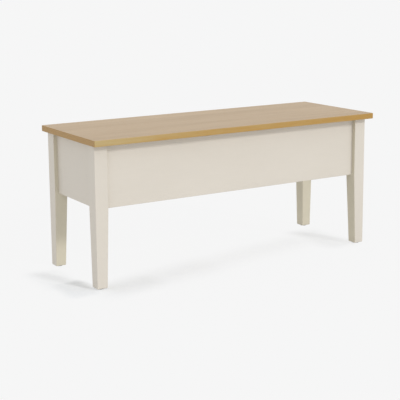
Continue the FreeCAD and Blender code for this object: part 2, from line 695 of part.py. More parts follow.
bracket = body("stay_bracket")
add(bracket, "bracket_plate", "Z", "places.bracket_under", "places.lid_under", rectangle(
    "places.bracket_inside", "places.ear_outside",
    "(places.pivot_y - sizes.bracket_length / 2)", "(places.pivot_y + sizes.bracket_length / 2)"))
ear_front = "(places.pivot_y - sizes.ear_radius)"
ear_back = "(places.pivot_y + sizes.ear_radius)"
pivot = ("places.pivot_y", "places.pivot_z")
add(bracket, "bracket_ear", "X", "places.ear_inside", "places.ear_outside", path([
    ((ear_front, "places.pivot_z"), pivot, 1),
    ((ear_back, "places.pivot_z"),),
    ((ear_back, "places.lid_under"),),
    ((ear_front, "places.lid_under"),),
]))
cut(bracket, "rivet_hole", "X", "places.ear_inside", "places.ear_outside",
    circle(*pivot, "sizes.rivet_radius"))
bracket_screw = (
    "((places.bracket_inside + places.ear_inside) / 2)",
    "(places.pivot_y - sizes.bracket_screw_apart / 2)",
    "places.bracket_under",
)
seat = spin_cut(bracket, "bracket_seat", bracket_screw,
                sheet_seat("sizes.hinge_screw_hole", "sizes.bracket_thickness", 1))
repeat(bracket, "bracket_seats", seat, [("Y", "sizes.bracket_screw_apart")])

rivet = body("stay_rivet")
shank_end = "(places.arm_outside + sizes.stay_play - places.ear_inside)"
tail_end = f"({shank_end} + sizes.rivet_tail_height)"
spin(rivet, "rivet_turned", "X", ("places.ear_inside", *pivot), [
    ("(-sizes.rivet_head_height)", "0"),
    ("(-sizes.rivet_head_height)", "sizes.rivet_head_radius"),
    ("0", "sizes.rivet_head_radius"),
    ("0", "sizes.rivet_radius"),
    (shank_end, "sizes.rivet_radius"),
    (shank_end, "sizes.rivet_tail_radius"),
    (tail_end, "sizes.rivet_tail_radius"),
    (tail_end, "0"),
])

# The arm is drawn hanging straight down from its pivot, and then tilted as the lid holds it.
arm = body("stay_arm")
arm_half = "(sizes.arm_width / 2)"
slot_start, slot_end = "(-places.slot_start)", "(-places.slot_end)"
add(arm, "arm_blank", "X", "0", "sizes.arm_thickness", path([
    ((f"(-{arm_half})", "0"),),
    ((f"(-{arm_half})", slot_end), ("0", slot_end), 1),
    ((arm_half, slot_end),),
    ((arm_half, "0"), ("0", "0"), 1),
]))
cut(arm, "arm_pivot_hole", "X", "0", "sizes.arm_thickness",
    circle("0", "0", "(sizes.rivet_radius + sizes.rivet_play)"))
cut(arm, "arm_slot", "X", "0", "sizes.arm_thickness", path([
    (("(-places.slot_half)", slot_start),),
    (("(-places.slot_half)", slot_end), ("0", slot_end), 1),
    (("places.slot_half", slot_end),),
    (("places.slot_half", slot_start), ("0", slot_start), 1),
]))
arm.Placement = Placement(Vector(0, 0, 0), Rotation(Vector(1, 0, 0), 1))
arm.setExpression("Placement.Base.x", "places.arm_inside")
arm.setExpression("Placement.Base.y", "places.pivot_y")
arm.setExpression("Placement.Base.z", "places.pivot_z")
arm.setExpression("Placement.Rotation.Angle", "places.arm_tilt")

# The stud has a shoulder for the arm and a collar that stands it off the end panel.
stud = body("stay_stud")
shoulder = "(places.collar_face - places.ear_outside)"
collar_end = f"({shoulder} + sizes.collar_length)"
stud_end = f"({collar_end} + sizes.stud_shank_length)"
spin(stud, "stud_turned", "X", ("places.ear_outside", "places.stud_y", "places.stud_z"), [
    ("(-sizes.stud_head_height)", "0"),
    ("(-sizes.stud_head_height)", "sizes.stud_head_radius"),
    ("0", "sizes.stud_head_radius"),
    ("0", "sizes.stud_radius"),
    (shoulder, "sizes.stud_radius"),
    (shoulder, "sizes.collar_radius"),
    (collar_end, "sizes.collar_radius"),
    (collar_end, "sizes.stud_shank_radius"),
    (stud_end, "sizes.stud_shank_radius"),
    (stud_end, "0"),
])

# Every feature has to be sound before anything is written.

document.recompute()
for item in document.Objects:
    if "Invalid" in item.State or "Error" in item.State:
        raise RuntimeError(f"{item.Label}: {item.State}")

pieces = [item for item in document.Objects if item.TypeId == "PartDesign::Body"]
for piece in pieces:
    if piece.Shape.isNull() or not piece.Shape.isValid() or not piece.Shape.Solids:
        raise RuntimeError(f"{piece.Label}: its solid is not sound")

os.makedirs("parts", exist_ok=True)
for piece in pieces:
    piece.Shape.exportStep(f"parts/{piece.Label}.step")
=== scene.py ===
import math

import bmesh
import bpy
from mathutils import Matrix, Vector


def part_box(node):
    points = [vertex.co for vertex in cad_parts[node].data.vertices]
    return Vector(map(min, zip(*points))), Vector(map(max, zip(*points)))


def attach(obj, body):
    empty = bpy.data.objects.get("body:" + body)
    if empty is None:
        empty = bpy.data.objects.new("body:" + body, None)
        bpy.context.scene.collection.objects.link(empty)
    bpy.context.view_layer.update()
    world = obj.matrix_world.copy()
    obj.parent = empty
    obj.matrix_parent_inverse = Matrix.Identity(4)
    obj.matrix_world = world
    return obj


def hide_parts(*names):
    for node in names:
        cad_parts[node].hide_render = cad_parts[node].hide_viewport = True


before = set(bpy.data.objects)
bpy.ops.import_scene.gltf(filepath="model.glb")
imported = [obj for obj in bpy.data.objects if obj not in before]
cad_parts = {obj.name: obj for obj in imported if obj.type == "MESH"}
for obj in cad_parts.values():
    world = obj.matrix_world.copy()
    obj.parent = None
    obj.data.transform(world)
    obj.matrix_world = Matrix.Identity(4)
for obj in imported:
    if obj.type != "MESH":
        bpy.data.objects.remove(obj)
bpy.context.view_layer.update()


# Legs: four hardwood legs, 45 mm square beside the panels and tapered on their two inner faces
# to 36 mm at the foot. Their arrises are rounded, and they are brushed up and down with satin
# ivory paint. The panels' glued tenons hold them.

FOOT_WIDTH = 0.036
LEG_ARRIS = 0.0018
FOOT_CHAMFER = 0.0014
SHARP_ANGLE = 40
SAME_PLACE = 1e-6
PAINT_DEEP = (0.618, 0.573, 0.502, 1)
PAINT_PALE = (0.654, 0.608, 0.538, 1)
# Painted shade for the legs' faces that look in towards the middle of the bench.
INNER_PAINTED_SHADE = (0.960, 0.955, 0.860, 1)

KNEE_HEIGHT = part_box("front_panel")[0][2]


def add_node(tree, kind, settings, inputs):
    """A shader node. An input is a plain value, or the socket that feeds it."""
    item = tree.nodes.new(kind)
    for name, setting in settings.items():
        setattr(item, name, setting)
    for key, source in inputs.items():
        if isinstance(source, bpy.types.NodeSocket):
            tree.links.new(source, item.inputs[key])
        else:
            item.inputs[key].default_value = source
    return item


def sum_of(tree, first, second, operation="ADD"):
    """One Math node. It adds, unless another operation is named."""
    return add_node(tree, "ShaderNodeMath", {"operation": operation}, {
        0: first, 1: second}).outputs[0]


def noise(tree, coordinates, scale, detail=2.0, roughness=0.5):
    """A grey pattern about 0.5 on the given coordinates."""
    return add_node(tree, "ShaderNodeTexNoise", {}, {
        "Vector": coordinates, "Scale": scale, "Detail": detail, "Roughness": roughness,
    }).outputs[0]


def spread(tree, source, low, high, out_low, out_high):
    """Stretches one range of a pattern over another."""
    return add_node(tree, "ShaderNodeMapRange", {}, {
        "Value": source, "From Min": low, "From Max": high, "To Min": out_low, "To Max": out_high,
    }).outputs[0]


def blend_of(tree, share, first, second):
    """A colour between two."""
    mix = add_node(tree, "ShaderNodeMix", {"data_type": "RGBA"}, {0: share, 6: first, 7: second})
    return mix.outputs[2]


def stretched(tree, along, length):
    """Object coordinates drawn out along one axis, so that a pattern runs that way."""
    place = add_node(tree, "ShaderNodeTexCoord", {}, {})
    scale = [1, 1, 1]
    scale["XYZ".index(along)] = length
    return add_node(tree, "ShaderNodeMapping", {}, {
        "Vector": place.outputs["Object"], "Scale": scale}).outputs[0]


def new_material(name, metallic=0.0, **sockets):
    """A material with one principled shader, whose even values are set on its own sockets."""
    material = bpy.data.materials.new(name)
    material.use_nodes = True
    shader = material.node_tree.nodes["Principled BSDF"]
    shader.inputs["Metallic"].default_value = metallic
    for socket, number in sockets.items():
        shader.inputs[socket.replace("_", " ")].default_value = number
    return material, material.node_tree, shader


def join(tree, shader, colour, roughness, height, depth):
    """Feeds the shader its colour, its roughness and a bump of a real depth in metres."""
    bump = add_node(tree, "ShaderNodeBump", {}, {
        "Height": height, "Distance": depth, "Strength": 1.0})
    tree.links.new(colour, shader.inputs["Base Color"])
    tree.links.new(roughness, shader.inputs["Roughness"])
    tree.links.new(bump.outputs[0], shader.inputs["Normal"])


def inward(tree):
    """1 on a face that looks in towards the middle of the bench, and 0 on any other."""
    place = add_node(tree, "ShaderNodeTexCoord", {}, {})
    where = add_node(tree, "ShaderNodeSeparateXYZ", {}, {"Vector": place.outputs["Object"]})
    faces = add_node(tree, "ShaderNodeSeparateXYZ", {}, {"Vector": place.outputs["Normal"]})
    looks = [sum_of(tree, sum_of(tree, where.outputs[axis], 0.0, "SIGN"), faces.outputs[axis],
                    "MULTIPLY") for axis in (0, 1)]
    return spread(tree, sum_of(tree, *looks, "MINIMUM"), -0.8, -0.4, 1.0, 0.0)


def ivory_paint(name, strokes, inner=False):
    """Satin paint, brushed along one axis, with the board's own slight unevenness under it. The
    inner faces of a leg carry a painted shade, a little deeper and warmer."""
    material, tree, shader = new_material(name, Specular_IOR_Level=0.42)
    brushed = stretched(tree, strokes, 0.06)
    even = stretched(tree, strokes, 0.5)
    streaks = noise(tree, brushed, 260, 3.0, 0.6)
    clouds = noise(tree, even, 7, 3.0, 0.55)
    peel = noise(tree, even, 520, 1.0)
    tone = sum_of(tree, spread(tree, streaks, 0.3, 0.7, -0.12, 0.12),
                  spread(tree, clouds, 0.3, 0.7, 0.25, 0.75))
    colour = blend_of(tree, tone, PAINT_DEEP, PAINT_PALE)
    if inner:
        # Painted shade: faces that look in towards the middle of the bench are darkened and
        # warmed.
        colour = add_node(tree, "ShaderNodeMix", {"data_type": "RGBA", "blend_type": "MULTIPLY"}, {
            0: inward(tree), 6: colour, 7: INNER_PAINTED_SHADE}).outputs[2]
    roughness = spread(tree, clouds, 0.3, 0.7, 0.40, 0.50)
    height = sum_of(tree, streaks, sum_of(tree, peel, 0.5, "MULTIPLY"))
    join(tree, shader, colour, roughness, height, 0.00006)
    return material


def make_piece(name, shape, material, body, slot, *nodes):
    """Turns a bmesh into a piece that rides on a body, and stands for the CAD nodes it names."""
    mesh = bpy.data.meshes.new(name)
    shape.to_mesh(mesh)
    shape.free()
    mesh.materials.append(material)
    mesh.shade_smooth()
    mesh.set_sharp_from_angle(angle=math.radians(SHARP_ANGLE))
    piece = bpy.data.objects.new(name, mesh)
    bpy.context.scene.collection.objects.link(piece)
    weighted = piece.modifiers.new("even_faces", "WEIGHTED_NORMAL")
    weighted.keep_sharp = True
    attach(piece, body)
    if nodes:
        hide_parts(*nodes)


def corners(node):
    """The lowest and highest corners of a CAD node."""
    return [Vector(corner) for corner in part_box(node)]


def block(low, high):
    """A box between two corners."""
    shape = bmesh.new()
    bmesh.ops.create_cube(shape, size=1.0)
    bmesh.ops.scale(shape, vec=high - low, verts=shape.verts)
    bmesh.ops.translate(shape, vec=(low + high) / 2, verts=shape.verts)
    return shape


def round_upright(shape, offset):
    """Rounds every edge that runs from a lower to a higher corner."""
    edges = [edge for edge in shape.edges
             if abs(edge.verts[0].co.z - edge.verts[1].co.z) > 0.01]
    bmesh.ops.bevel(shape, geom=edges, offset=offset, offset_type="OFFSET", affect="EDGES",
                    segments=4, profile=0.5, material=-1)


def round_level(shape, level, offset, segments):
    """Rounds the edges that lie at one height."""
    edges = [edge for edge in shape.edges
             if all(abs(vert.co.z - level) < SAME_PLACE for vert in edge.verts)]
    bmesh.ops.bevel(shape, geom=edges, offset=offset, offset_type="OFFSET", affect="EDGES",
                    segments=segments, profile=0.5, material=-1, clamp_overlap=True)


leg_paint = ivory_paint("ivory_paint_legs", "Z", inner=True)
for end in ("front", "back"):
    for side in ("left", "right"):
        node = f"leg_{end}_{side}"
        low, high = corners(node)
        shape = block(low, high)
        bmesh.ops.bisect_plane(shape, geom=shape.verts[:] + shape.edges[:] + shape.faces[:],
                               plane_co=(0, 0, KNEE_HEIGHT), plane_no=(0, 0, 1))
        inner_x = high.x if side == "left" else low.x
        inner_y = high.y if end == "front" else low.y
        foot_x = low.x + FOOT_WIDTH if side == "left" else high.x - FOOT_WIDTH
        foot_y = low.y + FOOT_WIDTH if end == "front" else high.y - FOOT_WIDTH
        for vert in shape.verts:
            if abs(vert.co.z - low.z) < SAME_PLACE:
                vert.co.x = foot_x if abs(vert.co.x - inner_x) < SAME_PLACE else vert.co.x
                vert.co.y = foot_y if abs(vert.co.y - inner_y) < SAME_PLACE else vert.co.y
        round_upright(shape, LEG_ARRIS)
        round_level(shape, low.z, FOOT_CHAMFER, 1)
        make_piece(f"tapered_{node}", shape, leg_paint, "bench_frame", "painted_wood", node)


# Panels: 18 mm boards tenoned between the legs, the front and ends set back from the legs'
# faces and the back flush with them. The same ivory paint is brushed along each board.

long_paint = ivory_paint("ivory_paint_long_panels", "X")
end_paint = ivory_paint("ivory_paint_end_panels", "Y")


def finish_nodes(material, *nodes):
    """Gives carried-over CAD nodes their material."""
    for node in nodes:
        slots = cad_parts[node].data.materials
        slots.clear()
        slots.append(material)


finish_nodes(long_paint, "front_panel", "back_panel")
finish_nodes(end_paint, "end_panel_left", "end_panel_right")


# Well floor: a sheet of 6 mm plywood let into grooves in the four panels. It is painted with the
# panels' ivory, brushed along the bench, and shows when the lid is up.

finish_nodes(ivory_paint("ivory_paint_well_floor", "X"), "floor_panel")


# Bearer: a planed softwood bar under the middle of the floor, tenoned into the front and back
# panels. It is left bare, with straight yellowish grain.

SOFTWOOD_PALE = (0.640, 0.470, 0.280, 1)
SOFTWOOD_DEEP = (0.490, 0.300, 0.140, 1)


def planed_softwood(name):
    """Bare planed wood with its grain from front to back."""
    material, tree, shader = new_material(name, Specular_IOR_Level=0.3)
    flow = stretched(tree, "Y", 0.05)
    rings = noise(tree, flow, 95, 2.0, 0.5)
    fibres = noise(tree, flow, 620, 2.0, 0.6)
    share = sum_of(tree, spread(tree, rings, 0.36, 0.64, 0.0, 0.85),
                   spread(tree, fibres, 0.3, 0.7, -0.1, 0.1))
    colour = blend_of(tree, share, SOFTWOOD_PALE, SOFTWOOD_DEEP)
    join(tree, shader, colour, spread(tree, fibres, 0.3, 0.7, 0.58, 0.7), fibres, 0.00006)
    return material


finish_nodes(planed_softwood("planed_softwood"), "floor_bearer")


# Foot glides: four turned discs of dark nylon nailed under the feet. They keep the paint off
# the floor and show as a thin dark line under each leg. Each nail is moulded into its disc.

GLIDE_RIM = 0.0011
GLIDE_HEIGHT = 0.003
GLIDE_RADIUS = 0.012
NAIL_RADIUS = 0.0012
NYLON_DEEP = (0.030, 0.026, 0.022, 1)
NYLON_PALE = (0.060, 0.053, 0.045, 1)


def turned(shape, profile, centre, axis, steps=32):
    """Turns a profile of (radius, length) points about an axis through a centre."""
    axis = Vector(axis)
    across = axis.orthogonal()
    verts = [shape.verts.new(Vector(centre) + across.normalized() * radius + axis * length)
             for radius, length in profile]
    edges = [shape.edges.new(pair) for pair in zip(verts, verts[1:])]
    bmesh.ops.spin(shape, geom=verts + edges, cent=centre, axis=axis, angle=math.tau,
                   steps=steps, use_merge=True)
    bmesh.ops.remove_doubles(shape, verts=shape.verts, dist=SAME_PLACE)
    bmesh.ops.recalc_face_normals(shape, faces=shape.faces)


def dark_nylon(name):
    """Moulded nylon with a fine grain."""
    material, tree, shader = new_material(name, Specular_IOR_Level=0.4)
    grain = noise(tree, stretched(tree, "Z", 1.0), 900, 3.0, 0.6)
    colour = blend_of(tree, grain, NYLON_DEEP, NYLON_PALE)
    join(tree, shader, colour, spread(tree, grain, 0.3, 0.7, 0.42, 0.56), grain, 0.00004)
    return material


glide_low, glide_high = corners("foot_glides")
nail_length = glide_high.z - glide_low.z - GLIDE_HEIGHT
glides = bmesh.new()
for x in (glide_low.x + GLIDE_RADIUS, glide_high.x - GLIDE_RADIUS):
    for y in (glide_low.y + GLIDE_RADIUS, glide_high.y - GLIDE_RADIUS):
        turned(glides, [
            (0, 0), (GLIDE_RADIUS - GLIDE_RIM, 0),
            (GLIDE_RADIUS - 0.3 * GLIDE_RIM, 0.3 * GLIDE_RIM), (GLIDE_RADIUS, GLIDE_RIM),
            (GLIDE_RADIUS, GLIDE_HEIGHT), (NAIL_RADIUS, GLIDE_HEIGHT),
            (NAIL_RADIUS, GLIDE_HEIGHT + nail_length - 3 * NAIL_RADIUS),
            (0, GLIDE_HEIGHT + nail_length),
        ], (x, y, glide_low.z), (0, 0, 1))
make_piece("nylon_foot_glides", glides, dark_nylon("dark_nylon"), "bench_frame", "glide_plastic",
           "foot_glides")


# Hinges: two pairs of zinc-plated leaves, pressed from sheet with a fine drawn grain, on pins
# turned from bar. They are screwed to the back panel's top edge and to the lid's underside.

ZINC_PALE = (0.640, 0.640, 0.625, 1)
ZINC_DEEP = (0.470, 0.472, 0.470, 1)


def zinc_steel(name, drawn, roughness):
    """Plated steel, drawn along one axis."""
    material, tree, shader = new_material(name, metallic=1.0)
    fine = noise(tree, stretched(tree, drawn, 0.05), 1500, 2.0, 0.6)
    patches = noise(tree, stretched(tree, drawn, 0.6), 130, 3.0, 0.6)
    share = sum_of(tree, spread(tree, patches, 0.3, 0.7, 0.1, 0.9),
                   spread(tree, fine, 0.3, 0.7, -0.15, 0.15))
    colour = blend_of(tree, share, ZINC_DEEP, ZINC_PALE)
    rough = spread(tree, patches, 0.3, 0.7, roughness - 0.05, roughness + 0.08)
    join(tree, shader, colour, rough, fine, 0.00002)
    return material


hinge_zinc = zinc_steel("zinc_hinges", "X", 0.34)
bar_zinc = zinc_steel("zinc_turned_bar", "X", 0.30)
finish_nodes(hinge_zinc, "hinge_left_frame_leaf", "hinge_right_frame_leaf",
             "hinge_left_lid_leaf", "hinge_right_lid_leaf")
finish_nodes(bar_zinc, "hinge_left_pin", "hinge_right_pin")


# Screws: countersunk wood screws with cross recesses, flush with the leaves, the stay's bracket
# and the battens. Each screw is one turned and punched piece of plated steel.

SCREW_GRID = 7
CROSS_HALF_WIDTH = 0.13
CROSS_REACH = 0.56
CROSS_WAIST = 0.45
CROSS_DEPTH = 0.9
CROSS_TAPER = 0.72
POINT_WIDTH = 0.08
HINGE_SCREW = (0.00175, 0.0034)
HINGE_SCREW_APART = 0.036
FRAME_SCREW_LENGTH = 0.020
LID_SCREW_LENGTH = 0.014
BATTEN_SCREW = (0.002, 0.004)
BATTEN_SCREW_LENGTH = 0.028
BATTEN_SCREW_APART = 0.150
BRACKET_SCREW_APART = 0.026
FITTING_SHEET = 0.0016


def cross_screw(shape, place, out, radius, head_radius, length):
    """One screw from the middle of its head, which looks up where out is 1. A grid becomes the
    round head, its middle is punched in as the cross, and its rim is drawn out to the point."""
    before = set(shape.verts)
    grid = bmesh.ops.create_grid(shape, x_segments=SCREW_GRID, y_segments=SCREW_GRID, size=1.0)
    verts = grid["verts"]
    slot_half = head_radius * CROSS_HALF_WIDTH
    cross_half = head_radius * CROSS_REACH
    waist = cross_half * CROSS_WAIST
    lines = (-1.0, -cross_half, -waist, -slot_half, slot_half, waist, cross_half, 1.0)
    for vert in verts:
        column = round((vert.co.x + 1) * SCREW_GRID / 2)
        row = round((vert.co.y + 1) * SCREW_GRID / 2)
        if column in (0, SCREW_GRID) or row in (0, SCREW_GRID):
            vert.co = Vector((vert.co.x, vert.co.y, 0)).normalized() * head_radius
        else:
            vert.co = Vector((lines[column], lines[row], 0))
    faces = [face for face in shape.faces if face.verts[0] not in before]
    cross = [face for face in faces
             if min(abs(face.calc_center_median().x), abs(face.calc_center_median().y)) < 1e-7
             and face.calc_center_median().length < cross_half]
    ring = [edge for edge in shape.edges if edge.is_boundary and edge.verts[0] not in before]
    punched = bmesh.ops.extrude_face_region(shape, geom=cross)
    bmesh.ops.delete(shape, geom=cross, context="FACES_ONLY")
    for vert in [item for item in punched["geom"] if isinstance(item, bmesh.types.BMVert)]:
        vert.co.z = vert.co.z - radius * CROSS_DEPTH
        vert.co.x = vert.co.x * CROSS_TAPER
        vert.co.y = vert.co.y * CROSS_TAPER
    head_depth = head_radius - radius
    for ring_radius, depth in ((radius, head_depth), (radius, length - 3 * radius),
                               (radius * POINT_WIDTH, length)):
        made = bmesh.ops.extrude_edge_only(shape, edges=ring)["geom"]
        ring = [item for item in made if isinstance(item, bmesh.types.BMEdge)]
        for vert in [item for item in made if isinstance(item, bmesh.types.BMVert)]:
            flat = Vector((vert.co.x, vert.co.y, 0)).normalized() * ring_radius
            vert.co = Vector((flat.x, flat.y, -depth))
    bmesh.ops.contextual_create(shape, geom=ring)
    fresh = [vert for vert in shape.verts if vert not in before]
    turn = Matrix.Identity(3) if out > 0 else Matrix.Rotation(math.pi, 3, "X")
    bmesh.ops.transform(shape, matrix=turn.to_4x4(), verts=fresh)
    bmesh.ops.translate(shape, vec=place, verts=fresh)


def fastened(name, screws, body):
    """One piece with all screws of a kind."""
    shape = bmesh.new()
    for screw in screws:
        cross_screw(shape, *screw)
    bmesh.ops.recalc_face_normals(shape, faces=shape.faces)
    make_piece(name, shape, screw_zinc, body, "hinge_steel")


screw_zinc = zinc_steel("zinc_screws", "Z", 0.36)
hinge_middles = [sum(corner.x for corner in corners(f"hinge_{side}_pin")) / 2
                 for side in ("left", "right")]
back_low, back_high = corners("back_panel")
hinge_row = (back_low.y + back_high.y) / 2
hinge_places = [(middle + shift * HINGE_SCREW_APART / 2, hinge_row)
                for middle in hinge_middles for shift in (-1, 1)]
lid_under = corners("lid_board")[0].z
leaf_top = corners("hinge_left_frame_leaf")[0].z + FITTING_SHEET
bracket_low, bracket_high = corners("stay_bracket")
rivet_low, rivet_high = corners("stay_rivet")
pivot = (rivet_low + rivet_high) / 2
bracket_screw_x = (bracket_low.x + bracket_high.x - FITTING_SHEET) / 2
batten_low, batten_high = corners("lid_batten_right")
batten = (batten_low + batten_high) / 2
fastened("cross_screws_frame",
         [((x, y, leaf_top), 1, *HINGE_SCREW, FRAME_SCREW_LENGTH) for x, y in hinge_places],
         "bench_frame")
lid_places = hinge_places + [(bracket_screw_x, pivot.y + shift * BRACKET_SCREW_APART / 2)
                             for shift in (-1, 1)]
fastened("cross_screws_lid",
         [((x, y, lid_under - FITTING_SHEET), -1, *HINGE_SCREW, LID_SCREW_LENGTH)
          for x, y in lid_places], "lid")
fastened("cross_screws_battens",
         [((side * batten.x, batten.y + shift * BATTEN_SCREW_APART / 2, batten_low.z), -1,
           *BATTEN_SCREW, BATTEN_SCREW_LENGTH) for side in (-1, 1) for shift in (-1, 1)],
         "lid")


# Lid stay: a zinc-plated bracket screwed to the lid, and a slotted arm that turns on a rivet in
# it and runs on a stud in the end panel. Rivet and stud are turned, with low domed heads.

RIVET_HEAD = (0.0045, 0.0016)
RIVET_SHANK = 0.0025
RIVET_TAIL = (0.0038, 0.0012)
STUD_HEAD = (0.006, 0.0018)
STUD_SHANK = 0.003
STUD_TAIL = 0.002
COLLAR_RADIUS = 0.007
COLLAR_FACE_RADIUS = 0.0066
COLLAR_CHAMFER = 0.0004
COLLAR_LENGTH = 0.0036
TURNED_STEPS = 28


def domed(radius, height, steps=5):
    """The profile of a low dome, from its middle to its rim."""
    return [(radius * math.sin(turn), -height * math.cos(turn))
            for turn in (math.radians(90) * step / steps for step in range(steps + 1))]


finish_nodes(zinc_steel("zinc_stay", "Z", 0.32), "stay_arm", "stay_bracket")

rivet = bmesh.new()
ear = rivet_low.x + RIVET_HEAD[1]
shank = rivet_high.x - RIVET_TAIL[1] - ear
turned(rivet, domed(*RIVET_HEAD) + [(RIVET_SHANK, 0), (RIVET_SHANK, shank), (RIVET_TAIL[0], shank)]
       + [(radius, shank - depth) for radius, depth in reversed(domed(*RIVET_TAIL))][1:],
       (ear, pivot.y, pivot.z), (1, 0, 0), TURNED_STEPS)
make_piece("domed_stay_rivet", rivet, bar_zinc, "lid", "stay_steel", "stay_rivet")

stud_low, stud_high = corners("stay_stud")
stud_centre = ((stud_low.y + stud_high.y) / 2, (stud_low.z + stud_high.z) / 2)
stud = bmesh.new()
shoulder = stud_low.x + STUD_HEAD[1]
panel_face = corners("end_panel_right")[0].x - shoulder
collar_face = panel_face - COLLAR_LENGTH
turned(stud, domed(*STUD_HEAD) + [
    (STUD_SHANK, 0), (STUD_SHANK, collar_face), (COLLAR_FACE_RADIUS, collar_face),
    (COLLAR_RADIUS, collar_face + COLLAR_CHAMFER), (COLLAR_RADIUS, panel_face),
    (STUD_TAIL, panel_face), (STUD_TAIL, stud_high.x - shoulder), (0, stud_high.x - shoulder)],
       (shoulder, *stud_centre), (1, 0, 0), TURNED_STEPS)
make_piece("domed_stay_stud", stud, bar_zinc, "bench_frame", "stay_steel", "stay_stud")


# Lid bumpers: two clear polyurethane domes stuck on the front legs. They fill the gap under the
# closed lid and take its front edge.

RUBBER_DEEP = (0.780, 0.770, 0.730, 1)
RUBBER_PALE = (0.860, 0.850, 0.820, 1)


def clear_rubber(name):
    """Soft hazy rubber that lets some light through."""
    material, tree, shader = new_material(name, Transmission_Weight=0.55, IOR=1.49)
    haze = noise(tree, stretched(tree, "Z", 1.0), 700, 2.0, 0.5)
    colour = blend_of(tree, haze, RUBBER_DEEP, RUBBER_PALE)
    join(tree, shader, colour, spread(tree, haze, 0.3, 0.7, 0.22, 0.34), haze, 0.00002)
    return material


bumper_low, bumper_high = corners("lid_bumpers")
bumper_radius = (bumper_high.y - bumper_low.y) / 2
bumper_height = bumper_high.z - bumper_low.z
bumper_dome = [(bumper_radius * math.sin(turn), bumper_height * math.cos(turn))
               for turn in (math.radians(90) * step / 6 for step in range(7))]
bumpers = bmesh.new()
for x in (bumper_low.x + bumper_radius, bumper_high.x - bumper_radius):
    turned(bumpers, bumper_dome + [(0, 0)],
           (x, (bumper_low.y + bumper_high.y) / 2, bumper_low.z), (0, 0, 1), 24)
make_piece("clear_lid_bumpers", bumpers, clear_rubber("clear_rubber"), "bench_frame",
           "bumper_rubber", "lid_bumpers")


# Lid: one board of oak glued up from five staves, with lightly rounded edges and a clear satin
# lacquer. Its faces are pale, partly from a painted sheen in their colour, its long edges are
# golden and its ends show the end grain.

LID_CORNER = 0.003
LID_EDGE = 0.002
STAVE = 0.08
# The faces' colour is the oak's own with a painted sheen in it, paler and greyer than the edges'.
OAK_FACE_AND_SHEEN = ((0.428, 0.302, 0.172, 1), (0.530, 0.390, 0.240, 1))
OAK_EDGE = ((0.412, 0.234, 0.055, 1), (0.460, 0.350, 0.162, 1))
OAK_END = ((0.308, 0.172, 0.050, 1), (0.505, 0.320, 0.120, 1))
EDGE_FADE = -0.85


